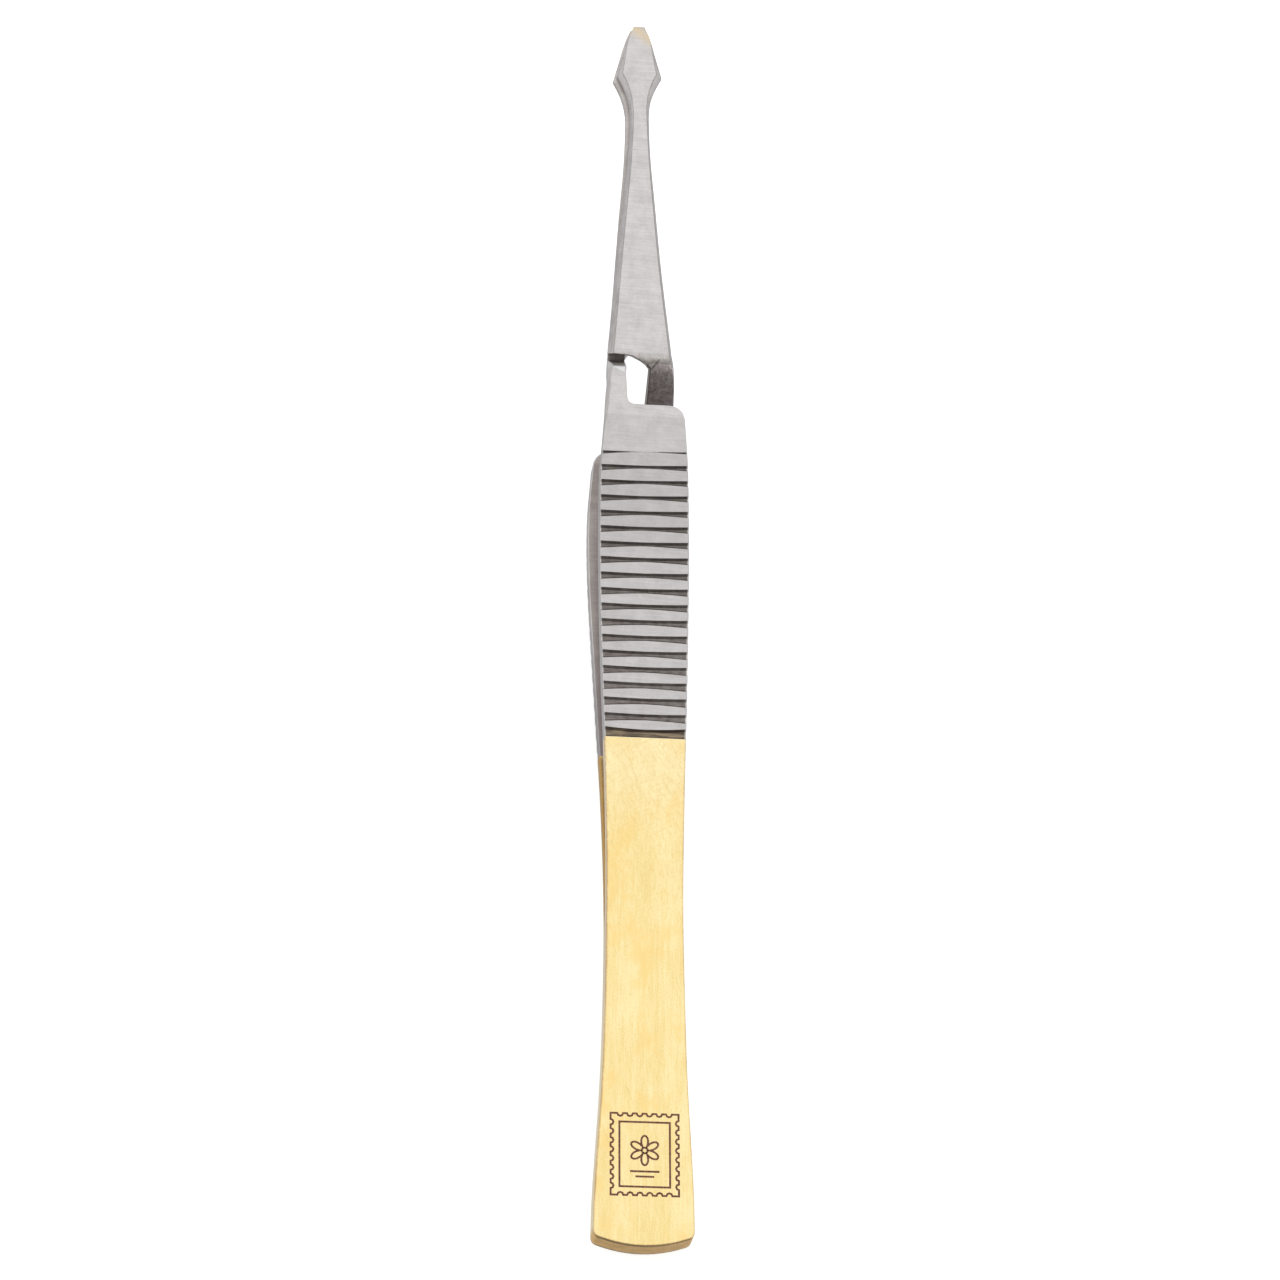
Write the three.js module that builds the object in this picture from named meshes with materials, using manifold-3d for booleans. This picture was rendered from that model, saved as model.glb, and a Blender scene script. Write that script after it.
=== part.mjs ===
// Self-closing (cross-action) stamp tongs with ridged grips and flat spade blades.
//
// Two identical spring-steel arms are welded together at the heel. Each arm runs up its own side,
// then its half-width neck dives through the other arm's notch, so squeezing the grips opens the
// blades. Each arm is divided into the zones that bend, grip, cross and hold the stamp.
//
// Millimetres. +Y runs from the heel to the tips, +X across the width, +Z out of the upper face.
// Shapes are drawn for the upper arm, with y = 0 at the heel and z = 0 where the two arms meet.

import * as THREE from 'three';
import { mergeVertices } from 'three/addons/utils/BufferGeometryUtils.js';
import Module from 'manifold-3d';

// Lengths along the tongs, measured from the heel
const LENGTH = 120;
const LEAVES_PART_Y = 28.5; // the arms lie together from the heel up to here
const FLEX_Y = 36; // the spring leaves bend about this line
const PLATING_END_Y = 45.55; // gold plating on the heel side, bare steel on the tip side
const SHOULDER_Y = 77.05; // end of the full-width grip
const BLADE_BASE_Y = 84.3;
const SPADE_CORNER_Y = 114.35;

// Thicknesses and heights above the plane where the arms meet
const HEEL_THICKNESS = 1.27;
const GRIP_THICKNESS = 1.6;
const ARM_CLEARANCE = 0.03; // half of the gap between the two arms where they touch
const CREST_HEIGHT = 5.88; // outer face at the highest point of the grip
const BLADE_BASE_THICKNESS = 1.65;
const SPADE_THICKNESS = 0.85;
const TIP_THICKNESS = 0.35;

// Half widths
const HEEL_HALF_WIDTH = 4.3;
const SHOULDER_HALF_WIDTH = 3.65;
const SHOULDER_RADIUS = 1.2;
const NECK_OUTER_X = 3.45;
const NECK_INNER_X = 1.42;
const NOTCH_RADIUS = 0.7;
const BLADE_BASE_HALF_WIDTH = 2.99;
const SPADE_HALF_WIDTH = 2.1;
const TIP_HALF_WIDTH = 0.5;
const BLADE_BEVEL = 0.44;
const BEVEL_SHARE = 0.45; // part of the blade's thickness that is bevelled away at its edges

// Grip grooves: V cuts straight across, deeper at the edges than in the middle
const GROOVE_COUNT = 19;
const GROOVE_PITCH = 1.431;
const FIRST_GROOVE_Y = 71.88;
const GROOVE_DEPTH = 0.2;
const GROOVE_TILT = 0.026; // radians
const GROOVE_FLARE = 1.14; // half width of a V cut for each unit of depth
const FIRST_GROOVE_DEPTH = 0.02; // the front groove is only started, at the edges

// Resistance-weld nuggets that hold the heel together
const NUGGET_Y = [6, 13, 20];
const NUGGET_RADIUS = 1.5;
const NUGGET_HEIGHT = 1.1;
const NUGGET_CLEARANCE = 0.3;

const wasm = await Module();
wasm.setup();

// ---------- solids ----------

function toSolid(geometry) {
  const bare = geometry.clone();
  bare.deleteAttribute('normal');
  bare.deleteAttribute('uv');
  const merged = mergeVertices(bare, 1e-4);
  return new wasm.Manifold(new wasm.Mesh({
    numProp: 3,
    vertProperties: new Float32Array(merged.attributes.position.array),
    triVerts: new Uint32Array(merged.index.array),
  }));
}

function toGeometry(solid) {
  const mesh = solid.getMesh();
  const indexed = new THREE.BufferGeometry();
  indexed.setAttribute('position', new THREE.BufferAttribute(mesh.vertProperties, 3));
  indexed.setIndex(new THREE.BufferAttribute(mesh.triVerts, 1));
  const geometry = indexed.toNonIndexed();
  geometry.computeVertexNormals();
  return geometry;
}

// A block that keeps only what lies between two stations along the length
function slab(fromY, toY) {
  const box = new THREE.BoxGeometry(20, toY - fromY, 30);
  box.translate(0, (fromY + toY) / 2, 0);
  return toSolid(box);
}

// Extrudes a (y, z) outline across the width
function extrudeAcross(shape, width) {
  const geometry = new THREE.ExtrudeGeometry(shape, { depth: width, bevelEnabled: false, curveSegments: 8 });
  geometry.translate(0, 0, -width / 2);
  const toSide = new THREE.Matrix4().makeBasis(
    new THREE.Vector3(0, 1, 0),
    new THREE.Vector3(0, 0, 1),
    new THREE.Vector3(1, 0, 0),
  );
  return geometry.applyMatrix4(toSide);
}

const points = (list) => list.map(([x, y]) => new THREE.Vector2(x, y));

// ---------- the arm seen from the side ----------

// Outer face of the arm from the heel, over the crest of the grip, to the bend of the neck
const NECK_BEND_Y = 80.2;
const outerLine = new THREE.SplineCurve(points([
  [LEAVES_PART_Y, HEEL_THICKNESS + ARM_CLEARANCE],
  [31, 1.44],
  [36, 1.96],
  [44, 2.82],
  [54, 3.84],
  [64, 4.98],
  [69, 5.56],
  [73.4, CREST_HEIGHT],
  [SHOULDER_Y, 5.7],
  [NECK_BEND_Y, 5.3],
]));

function outerHeight(y) {
  const samples = outerLine.getPoints(200);
  const after = Math.max(1, samples.findIndex((sample) => sample.x >= y));
  const [a, b] = [samples[after - 1], samples[after]];
  return THREE.MathUtils.mapLinear(y, a.x, b.x, a.y, b.y);
}

const thicknessAt = (y) => THREE.MathUtils.mapLinear(
  THREE.MathUtils.clamp(y, LEAVES_PART_Y, PLATING_END_Y + 6),
  LEAVES_PART_Y, PLATING_END_Y + 6, HEEL_THICKNESS, GRIP_THICKNESS,
);

// The neck drops steeply from the grip's height, through the meeting plane, to the far side
function sideOutline() {
  const outer = outerLine.getPoints(30);
  const inner = outer.map(({ x, y }) => new THREE.Vector2(x, y - thicknessAt(x))).reverse().slice(1);
  const bladeFace = -ARM_CLEARANCE - BLADE_BASE_THICKNESS;
  const beyond = BLADE_BASE_Y + 2;
  const shape = new THREE.Shape();
  shape.moveTo(-1, HEEL_THICKNESS + ARM_CLEARANCE);
  outer.forEach(({ x, y }) => shape.lineTo(x, y));
  shape.quadraticCurveTo(NECK_BEND_Y + 0.65, 5.2, NECK_BEND_Y + 1, 4.75);
  shape.lineTo(BLADE_BASE_Y - 0.35, 0.1);
  shape.lineTo(BLADE_BASE_Y - 0.15, -ARM_CLEARANCE);
  shape.lineTo(beyond, -ARM_CLEARANCE);
  shape.lineTo(beyond, bladeFace);
  shape.lineTo(BLADE_BASE_Y - 0.3, bladeFace);
  shape.quadraticCurveTo(BLADE_BASE_Y - 1, bladeFace, BLADE_BASE_Y - 1.35, -1.15);
  shape.lineTo(NECK_BEND_Y + 0.4, 2.82);
  shape.quadraticCurveTo(NECK_BEND_Y, 3.6, inner[0].x, inner[0].y);
  inner.forEach(({ x, y }) => shape.lineTo(x, y));
  shape.lineTo(-1, ARM_CLEARANCE);
  return shape;
}

// ---------- the arm seen from above ----------

// Half width of the handle and grip, from the heel corner to the shoulder
const HALF_WIDTHS = [
  [HEEL_HALF_WIDTH, 1.8],
  [4.1, 8],
  [3.72, 14],
  [3.42, 22],
  [3.3, 32],
  [3.4, 42],
  [3.68, 50],
  [3.86, 57],
  [3.94, 65],
  [3.85, 71],
];

// Handle, grip and neck; the neck is on the left and ends on the blade's base
function handleOutline() {
  const right = HALF_WIDTHS;
  const left = [...right].reverse().map(([x, y]) => [-x, y]);
  const shape = new THREE.Shape();
  shape.moveTo(-HEEL_HALF_WIDTH, 1.8);
  shape.quadraticCurveTo(-HEEL_HALF_WIDTH - 0.02, 1, -3.6, 0.71);
  shape.quadraticCurveTo(0, -0.71, 3.6, 0.71);
  shape.quadraticCurveTo(HEEL_HALF_WIDTH + 0.02, 1, HEEL_HALF_WIDTH, 1.8);
  shape.splineThru(points([...right.slice(1), [SHOULDER_HALF_WIDTH, SHOULDER_Y - SHOULDER_RADIUS]]));
  const cornerX = SHOULDER_HALF_WIDTH - SHOULDER_RADIUS;
  shape.absarc(cornerX, SHOULDER_Y - SHOULDER_RADIUS, SHOULDER_RADIUS, 0, Math.PI / 2, false);
  const notchX = -NECK_INNER_X + NOTCH_RADIUS;
  shape.absarc(notchX, SHOULDER_Y + NOTCH_RADIUS, NOTCH_RADIUS, 1.5 * Math.PI, Math.PI, true);
  shape.lineTo(-NECK_INNER_X - 0.05, BLADE_BASE_Y - 2.2);
  shape.quadraticCurveTo(-NECK_INNER_X, BLADE_BASE_Y - 1.6, -0.6, BLADE_BASE_Y - 1.1);
  shape.lineTo(0.95, BLADE_BASE_Y - 0.05);
  shape.lineTo(0.95, BLADE_BASE_Y + 1);
  shape.lineTo(-BLADE_BASE_HALF_WIDTH + 0.09, BLADE_BASE_Y + 1);
  shape.lineTo(-BLADE_BASE_HALF_WIDTH, BLADE_BASE_Y);
  shape.splineThru(points([[-NECK_OUTER_X, 82], [-NECK_OUTER_X - 0.03, 79.5], [-3.66, 75.5], ...left]));
  return shape;
}

// Right-hand edge of the blade, from beyond its base to beyond its tip
function bladeOutline() {
  const edge = new THREE.SplineCurve(points([
    [1.62, 99.75],
    [1.26, 103.2],
    [1.03, 106.2],
    [0.93, 109],
    [0.97, 110.9],
    [1.24, 112.3],
    [1.7, 113.5],
    [SPADE_HALF_WIDTH, SPADE_CORNER_Y],
  ])).getPoints(12).map(({ x, y }) => [x, y]);
  const widening = (BLADE_BASE_HALF_WIDTH - edge[0][0]) / (edge[0][1] - BLADE_BASE_Y);
  const right = [
    [BLADE_BASE_HALF_WIDTH + widening, BLADE_BASE_Y - 1],
    ...edge,
    [1.25, 117.8],
    [0.9, 118.95],
    [TIP_HALF_WIDTH, LENGTH],
    [TIP_HALF_WIDTH - 0.05, LENGTH + 1],
  ];
  const left = [...right].reverse().map(([x, y]) => [-x, y]);
  return new THREE.Shape(points([...right, ...left]));
}

function bladeThickness(y) {
  const { mapLinear } = THREE.MathUtils;
  if (y < SPADE_CORNER_Y) {
    return mapLinear(y, BLADE_BASE_Y, SPADE_CORNER_Y, BLADE_BASE_THICKNESS, SPADE_THICKNESS);
  }
  return mapLinear(y, SPADE_CORNER_Y, LENGTH, SPADE_THICKNESS, TIP_THICKNESS);
}

// ---------- the solids of one arm ----------

// V cuts for one groove: two straight cuts tilted opposite ways, so both ends are deeper
function grooveCutter(y, depth) {
  const height = 1.4;
  const vee = new THREE.Shape(points([
    [0, 0],
    [GROOVE_FLARE * height, height],
    [-GROOVE_FLARE * height, height],
  ]));
  const cuts = [-1, 1].map((side) => {
    const cut = extrudeAcross(vee, 12);
    cut.rotateY(side * GROOVE_TILT);
    cut.translate(0, y, outerHeight(y) - depth);
    return toSolid(cut);
  });
  return cuts[0].add(cuts[1]);
}

function grooves() {
  const stations = Array.from({ length: GROOVE_COUNT }, (_, i) => FIRST_GROOVE_Y - i * GROOVE_PITCH);
  const cutters = stations.map((y, i) => grooveCutter(y, i === 0 ? FIRST_GROOVE_DEPTH : GROOVE_DEPTH));
  return cutters.reduce((all, cutter) => all.add(cutter));
}

function nugget(y, clearance) {
  const disc = new THREE.CylinderGeometry(
    NUGGET_RADIUS + clearance, NUGGET_RADIUS + clearance, NUGGET_HEIGHT + 2 * clearance, 24);
  disc.rotateX(Math.PI / 2);
  disc.translate(0, y, 0);
  return toSolid(disc);
}

// Room above the blade's base, beside the neck, where the other arm's blade lies
function matingRelief() {
  const box = new THREE.BoxGeometry(8, 4, 8);
  box.translate(4 - NECK_INNER_X, BLADE_BASE_Y, 4 - ARM_CLEARANCE);
  return toSolid(box);
}

function handleSolid() {
  const plan = new THREE.ExtrudeGeometry(handleOutline(), { depth: 20, bevelEnabled: false, curveSegments: 6 });
  plan.translate(0, 0, -10);
  return toSolid(plan).intersect(toSolid(extrudeAcross(sideOutline(), 14)));
}

// The blade is drawn as two blades back to back with bevelled edges, one unit thick each. It is
// thinned towards the tip, and only the half under the meeting plane is kept, because an arm's
// blade lies on the far side of that plane from its grip.
function bladeSolid() {
  const geometry = new THREE.ExtrudeGeometry(bladeOutline(), {
    depth: 2 * (1 - BEVEL_SHARE),
    bevelThickness: BEVEL_SHARE,
    bevelSize: BLADE_BEVEL,
    bevelOffset: -BLADE_BEVEL,
    bevelSegments: 1,
  });
  geometry.translate(0, 0, -(1 - BEVEL_SHARE));
  const place = geometry.attributes.position;
  for (let i = 0; i < place.count; i += 1) {
    place.setZ(i, place.getZ(i) * bladeThickness(place.getY(i)) - ARM_CLEARANCE);
  }
  const lowerHalf = new THREE.BoxGeometry(20, LENGTH - BLADE_BASE_Y, 10);
  lowerHalf.translate(0, (LENGTH + BLADE_BASE_Y) / 2, -5 - ARM_CLEARANCE);
  return toSolid(geometry).intersect(toSolid(lowerHalf));
}

// ---------- materials ----------

const goldPlate = () => new THREE.MeshStandardMaterial({ color: '#f2d587', roughness: 0.32, metalness: 1 });
const bareSteel = () => new THREE.MeshStandardMaterial({ color: '#c8c5c3', roughness: 0.38, metalness: 1 });
const weldSteel = () => new THREE.MeshStandardMaterial({ color: '#8d8a88', roughness: 0.6, metalness: 1 });

function part(name, solid, material) {
  const mesh = new THREE.Mesh(toGeometry(solid), material);
  mesh.name = name;
  return mesh;
}

// ---------- assembly ----------

function arm(side) {
  const handle = handleSolid();
  const pockets = NUGGET_Y.map((y) => nugget(y, NUGGET_CLEARANCE)).reduce((all, one) => all.add(one));
  const zone = (fromY, toY) => handle.intersect(slab(fromY, toY));
  const group = new THREE.Group();
  group.add(
    part(`${side}_heel_leaf`, zone(-1, FLEX_Y).subtract(pockets), goldPlate()),
    part(`${side}_spring_leaf`, zone(FLEX_Y, PLATING_END_Y), goldPlate()),
    part(`${side}_grip`, zone(PLATING_END_Y, SHOULDER_Y).subtract(grooves()), bareSteel()),
    part(`${side}_neck`, zone(SHOULDER_Y, BLADE_BASE_Y).subtract(matingRelief()), bareSteel()),
    part(`${side}_blade`, bladeSolid(), bareSteel()),
  );
  return group;
}

const upperArm = arm('upper');
const lowerArm = arm('lower');
lowerArm.rotation.y = Math.PI;

const nuggets = NUGGET_Y.map((y, i) => part(`heel_weld_nugget_${i + 1}`, nugget(y, 0), weldSteel()));

// Origin under the middle of the tongs, at the lowest point of the lower grip
const tongs = new THREE.Group();
tongs.position.set(0, -LENGTH / 2, CREST_HEIGHT);
tongs.add(upperArm, lowerArm, ...nuggets);

export default tongs;
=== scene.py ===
"""Looks of the self-closing stamp tongs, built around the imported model.

Each arm is drawn flat, as an outline in (x, s) where x runs across and s along the arm from the heel, and
is then laid on the arm's side profile. Drawing units are millimetres, and heights are above the plane where
the two arms meet. Both arms are drawn the same way up: the lower one, which differs slightly, is then
turned half a turn.
"""

from math import cos, pi, radians, sin, sqrt

import bmesh
import bpy
import numpy as np
from mathutils import Matrix, Vector
from mathutils.geometry import delaunay_2d_cdt


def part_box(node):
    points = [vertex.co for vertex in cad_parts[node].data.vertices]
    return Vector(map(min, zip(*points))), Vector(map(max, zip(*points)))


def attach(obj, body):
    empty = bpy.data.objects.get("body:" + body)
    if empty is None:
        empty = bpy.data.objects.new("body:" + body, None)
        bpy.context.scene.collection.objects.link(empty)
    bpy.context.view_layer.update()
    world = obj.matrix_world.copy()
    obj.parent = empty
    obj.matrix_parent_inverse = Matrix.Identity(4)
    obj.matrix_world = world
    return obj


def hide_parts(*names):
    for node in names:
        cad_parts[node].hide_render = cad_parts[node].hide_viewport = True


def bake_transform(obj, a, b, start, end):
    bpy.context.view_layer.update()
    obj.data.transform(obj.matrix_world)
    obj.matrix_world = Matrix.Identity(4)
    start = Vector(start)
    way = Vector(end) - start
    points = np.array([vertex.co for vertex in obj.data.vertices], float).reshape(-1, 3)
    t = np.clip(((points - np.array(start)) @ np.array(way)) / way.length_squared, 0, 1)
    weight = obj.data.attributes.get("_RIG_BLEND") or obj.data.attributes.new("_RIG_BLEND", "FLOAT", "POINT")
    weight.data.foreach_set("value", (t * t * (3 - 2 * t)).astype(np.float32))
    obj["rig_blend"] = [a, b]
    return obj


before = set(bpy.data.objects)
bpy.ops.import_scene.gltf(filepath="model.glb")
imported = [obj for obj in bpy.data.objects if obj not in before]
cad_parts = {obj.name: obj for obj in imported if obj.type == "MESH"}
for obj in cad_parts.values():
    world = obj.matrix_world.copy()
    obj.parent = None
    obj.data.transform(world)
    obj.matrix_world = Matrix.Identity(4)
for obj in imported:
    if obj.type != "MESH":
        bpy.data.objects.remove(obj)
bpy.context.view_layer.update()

# ---------- places taken from the frame ----------

MM = 0.001
HEEL_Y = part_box("upper_heel_leaf")[0].y
MEETING_Z = (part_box("upper_heel_leaf")[0].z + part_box("lower_heel_leaf")[1].z) / 2


def station(node, corner):
    """Distance from the heel, in millimetres, of a node's low (0) or high (1) end."""
    return (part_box(node)[corner].y - HEEL_Y) / MM


FLEX = station("upper_heel_leaf", 1)
PLATING_END = station("upper_grip", 0)
SHOULDER = station("upper_grip", 1)
BLADE_BASE = station("upper_blade", 0)
LENGTH = station("upper_blade", 1)
CREST = (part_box("upper_grip")[1].z - MEETING_Z) / MM

# ---------- sizes of an arm, in millimetres ----------

SEAM = 0.012  # half of the hairline between the two arms where they touch
HEEL_THICKNESS = 1.3
GRIP_THICKNESS = 1.6
LEAVES_PART = 28.5
FULL_THICKNESS = PLATING_END + 6  # from here on the arm has the grip's thickness
CREST_STATION = 73.4  # of the highest ridge of the grip
NECK_START = 78.3
NECK_BEND = 80.6
FACET_END = 81.25  # of the facet along the neck's outer bend, which carries a painted highlight
CROSSING = 83.9
BLADE_BASE_THICKNESS = 1.65
SPADE_CORNER = 114.35
SPADE_THICKNESS = 0.85
TIP_THICKNESS = 0.36
SPADE_HALF_WIDTH = 2.12
TIP_HALF_WIDTH = 0.5

OUTER_HEIGHTS = [
    (-2, HEEL_THICKNESS), (LEAVES_PART, HEEL_THICKNESS), (31, 1.44), (36, 1.96), (44, 2.82), (54, 3.84),
    (64, 4.98), (69, 5.56), (CREST_STATION, CREST), (SHOULDER, 5.7), (NECK_BEND, 5.22),
]
HEEL_HALF_WIDTH = 4.3
HEEL_CORNER_START = 1.45
# (x, s) of a heel corner's rounding: its start, the point it is pulled towards, and its end
HEEL_CORNER = [(HEEL_HALF_WIDTH, HEEL_CORNER_START), (4.33, 0.78), (3.7, 0.64)]
HALF_WIDTHS = [
    (HEEL_CORNER_START, HEEL_HALF_WIDTH), (4.3, 4.24), (8.8, 4.0), (14, 3.7), (22, 3.45), (32, 3.35),
    (42, 3.5), (50, 3.75), (65, 4.0), (71, 3.92), (75.6, 3.66),
]
BLADE_HALF_WIDTHS = [
    (84, 2.98), (92, 2.23), (100, 1.55), (106, 1.04), (109, 0.93), (111, 0.98), (112.3, 1.25), (113.5, 1.7),
    (SPADE_CORNER, SPADE_HALF_WIDTH),
]
SPADE_HALF_WIDTHS = [(SPADE_CORNER, SPADE_HALF_WIDTH), (117.8, 1.25), (119, 0.9), (LENGTH, TIP_HALF_WIDTH)]
SHOULDER_HALF_WIDTH = 3.65
SHOULDER_RADIUS = 1.45
NOTCH_RADIUS = 0.7

EDGE_ROUNDING = 0.13
INNER_ROUNDING = 0.1
MATING_ROUNDING = 0.04
NECK_CHAMFER = (0.37, 0.48)
BEVEL_WIDTHS = [(84, 0.42), (100, 0.4), (106, 0.32), (111, 0.34), (114, 0.5), (115.4, 0.38), (117, 0.2),
                (118.4, 0.05)]
BEVEL_SHARE = 0.45

GROOVES_END = 73
GROOVE_COUNT = 19
GROOVE_PITCH = 1.4535
FIRST_GROOVE = 72.13
GROOVE_STEEPNESS = 1.2  # of the walls
GROOVE_DEPTH = 0.21
GROOVE_SKEW = 0.026  # the grooves near the shoulder are cut slightly askew
# Widths of the grooves near the shoulder and near the plating: in the middle, and at the two edges
MIDDLE_WIDTHS = (0.26, 0.56)
LEFT_WIDTHS = (0.6, 0.82)
RIGHT_WIDTHS = (0.5, 0.82)
LAST_GROOVE_START = PLATING_END + 0.02

# How far the handle and the blade of a finished arm stray sideways, as (station, x)
HANDLE_WANDER = [(0, 0.02), (26, 0.21), (44, 0.12)]
BLADE_WANDER = [(84, -0.03), (95, -0.09), (105, 0), (120, 0.09)]


def rounded(start, end):
    """Knots on the quarter of an ellipse that leaves start along the arm and reaches end across it."""
    (s0, x0), (s1, x1) = start, end
    return [(s0 + (s1 - s0) * sin(t), x1 - (x1 - x0) * cos(t)) for t in np.radians([0, 30, 60, 90])]


class Arm:
    """What differs between the two hand-finished arms. Knots are (station, value), in the drawing's x."""

    def __init__(self, name, side, blade_base, grip_wander, neck_outer, neck_inner, base_edge, blade_shift):
        self.name = name
        self.side = side  # 1 for the upper arm, -1 for the lower
        self.blade_base = blade_base
        self.wander = HANDLE_WANDER + grip_wander + BLADE_WANDER
        self.neck_outer = neck_outer
        self.neck_inner = neck_inner
        self.base_edge = base_edge  # (x, s) points between the neck and the corner of the blade's base
        self.blade_shift = blade_shift  # sideways and lengthwise, towards the tip


UPPER = Arm(
    "upper", 1, 86.3,
    grip_wander=[(60, -0.08), (74, -0.18)],
    neck_outer=[(71, 3.92), (75.5, 3.57), (80.6, 3.3), (83.9, 2.89), (86.3, 2.76)],
    neck_inner=[(77.75, -1.57), (80.6, -1.7), (83, -1.36)] + rounded((85, -1.26), (86.15, -0.5)),
    base_edge=[(-0.1, 86.27), (0.5, 86.3), (1.6, 86.3)],
    blade_shift=(-0.31, -0.13))
LOWER = Arm(
    "lower", -1, 84.6,
    grip_wander=[(56, -0.09), (66, -0.31)],
    neck_outer=[(71, 3.92), (75.5, 3.64), (78, 3.5), (82, 3.44), (84.6, 2.94)],
    neck_inner=[(77.75, -0.88), (81.6, -0.95), (83.6, -0.92), (84.1, 0.1), (84.45, 0.8)],
    base_edge=[(1.4, 84.52), (2.1, 84.58)],
    blade_shift=(0.0, 0.15))


def smooth(knots, x):
    """Cubic curve through (x, y) knots, straight on beyond the ends."""
    xs, ys = np.array(knots, float).T
    slopes = np.gradient(ys, xs)
    i = int(np.clip(np.searchsorted(xs, x) - 1, 0, len(xs) - 2))
    h = xs[i + 1] - xs[i]
    t = (x - xs[i]) / h
    if t < 0 or t > 1:
        end = i if t < 0 else i + 1
        return float(ys[end] + slopes[end] * (x - xs[end]))
    rise = ys[i] * (1 - t) ** 2 * (1 + 2 * t) + ys[i + 1] * t * t * (3 - 2 * t)
    lean = slopes[i] * t * (1 - t) ** 2 - slopes[i + 1] * t * t * (1 - t)
    return float(rise + h * lean)


def straight_between(knots, x):
    """Straight lines through (x, y) knots, level beyond the ends."""
    return float(np.interp(x, *np.array(knots, float).T))


def ease(low, high, x):
    """0 below low, 1 above high, smooth between."""
    t = min(1.0, max(0.0, (x - low) / (high - low)))
    return t * t * (3 - 2 * t)


def mix(a, b, t):
    return a + (b - a) * t


# ---------- side profile ----------


def thickness(s):
    return straight_between([(LEAVES_PART, HEEL_THICKNESS - SEAM), (FULL_THICKNESS, GRIP_THICKNESS)], s)


def blade_thickness(s):
    knots = [(BLADE_BASE, BLADE_BASE_THICKNESS), (SPADE_CORNER, SPADE_THICKNESS), (LENGTH, TIP_THICKNESS)]
    return straight_between(knots, s)


# Corners of the neck's profile: station, y, height, and how far the bend spreads either side
OUTER_CORNERS = [
    (NECK_START, NECK_START, smooth(OUTER_HEIGHTS, NECK_START), 0),
    (NECK_BEND - 0.35, NECK_BEND - 0.35, 5.28, 0.1),
    (FACET_END, FACET_END, 4.85, 0.08),
    (CROSSING, 84.3, -SEAM, 0.2),
    (SPADE_CORNER, SPADE_CORNER, -SEAM, 0),
    (LENGTH, LENGTH, -SEAM, 0),
]
INNER_CORNERS = [
    (NECK_START, NECK_START, smooth(OUTER_HEIGHTS, NECK_START) - GRIP_THICKNESS, 0),
    (NECK_BEND, 79.75, 3.68, 0.5),
    (CROSSING, 83.5, -SEAM - BLADE_BASE_THICKNESS, 0.85),
    (SPADE_CORNER, SPADE_CORNER, -SEAM - SPADE_THICKNESS, 0.5),
    (LENGTH, LENGTH, -SEAM - TIP_THICKNESS, 0),
]


def along(corners, s):
    """Point at s on a path of straight stretches, its corners rounded by parabolas."""
    stations = [corner[0] for corner in corners]

    def straight(at):
        return np.array([np.interp(at, stations, [corner[k] for corner in corners]) for k in (1, 2)])

    for at, y, z, spread in corners:
        if abs(s - at) < spread:
            t = (s - at + spread) / (2 * spread)
            first, last = straight(at - spread), straight(at + spread)
            return first * (1 - t) ** 2 + np.array([y, z]) * 2 * t * (1 - t) + last * t * t
    return straight(s)


def profile(s):
    """(y, z) of the arm's outer and inner faces at station s."""
    if s >= NECK_START:
        return along(OUTER_CORNERS, s), along(INNER_CORNERS, s)
    outer = smooth(OUTER_HEIGHTS, s) if s > LEAVES_PART else HEEL_THICKNESS
    return np.array([s, outer]), np.array([s, outer - thickness(s)])


# ---------- grooves ----------


def groove_edges(i, x):
    """The heel and tip sides of groove i at x: its tip side is nearly straight and its heel side bowed."""
    share = i / (GROOVE_COUNT - 1)
    reach = min(1.0, abs(x) / 3.8) ** 1.5
    if i == GROOVE_COUNT - 1:
        return LAST_GROOVE_START, LAST_GROOVE_START + mix(0.72, 0.9, reach)
    middle, edge = mix(*MIDDLE_WIDTHS, share), mix(*(LEFT_WIDTHS if x < 0 else RIGHT_WIDTHS), share)
    if i == 0:  # this one is only started, at the edges
        middle, edge = 0.02, 0.32 if x < 0 else 0.2
    now = mix(middle, edge, reach)
    tip_side = (FIRST_GROOVE - i * GROOVE_PITCH + GROOVE_SKEW * (1 - share) * x
                + middle / 2 + 0.3 * (now - middle))
    return tip_side - now, tip_side


def groove_floor(i, x):
    """Depth of groove i at x, and the width of each sloping wall."""
    heel_side, tip_side = groove_edges(i, x)
    deep = min(GROOVE_DEPTH, 0.42 * (tip_side - heel_side) * GROOVE_STEEPNESS)
    return deep, deep / GROOVE_STEEPNESS


def groove_depth(x, s):
    near = int(np.clip(round((FIRST_GROOVE - s) / GROOVE_PITCH), 0, GROOVE_COUNT - 1))
    depth = 0.0
    for i in range(max(0, near - 1), min(GROOVE_COUNT, near + 2)):
        heel_side, tip_side = groove_edges(i, x)
        inside = min(s - heel_side, tip_side - s)
        if inside > 0:
            deep, wall = groove_floor(i, x)
            depth = max(depth, deep * min(1.0, inside / wall))
    return depth


def groove_rows(i):
    """The four lines of groove i, from the heel's side to the tip's."""
    return [lambda x: groove_edges(i, x)[0],
            lambda x: groove_edges(i, x)[0] + groove_floor(i, x)[1],
            lambda x: groove_edges(i, x)[1] - groove_floor(i, x)[1],
            lambda x: groove_edges(i, x)[1]]


# ---------- outline and the rows that cross it ----------


def handle_half_width(s):
    if s > SHOULDER - SHOULDER_RADIUS:
        up = min(1.0, (s - SHOULDER + SHOULDER_RADIUS) / SHOULDER_RADIUS)
        return SHOULDER_HALF_WIDTH - SHOULDER_RADIUS + SHOULDER_RADIUS * sqrt(1 - up * up)
    return smooth(HALF_WIDTHS, s)


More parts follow.
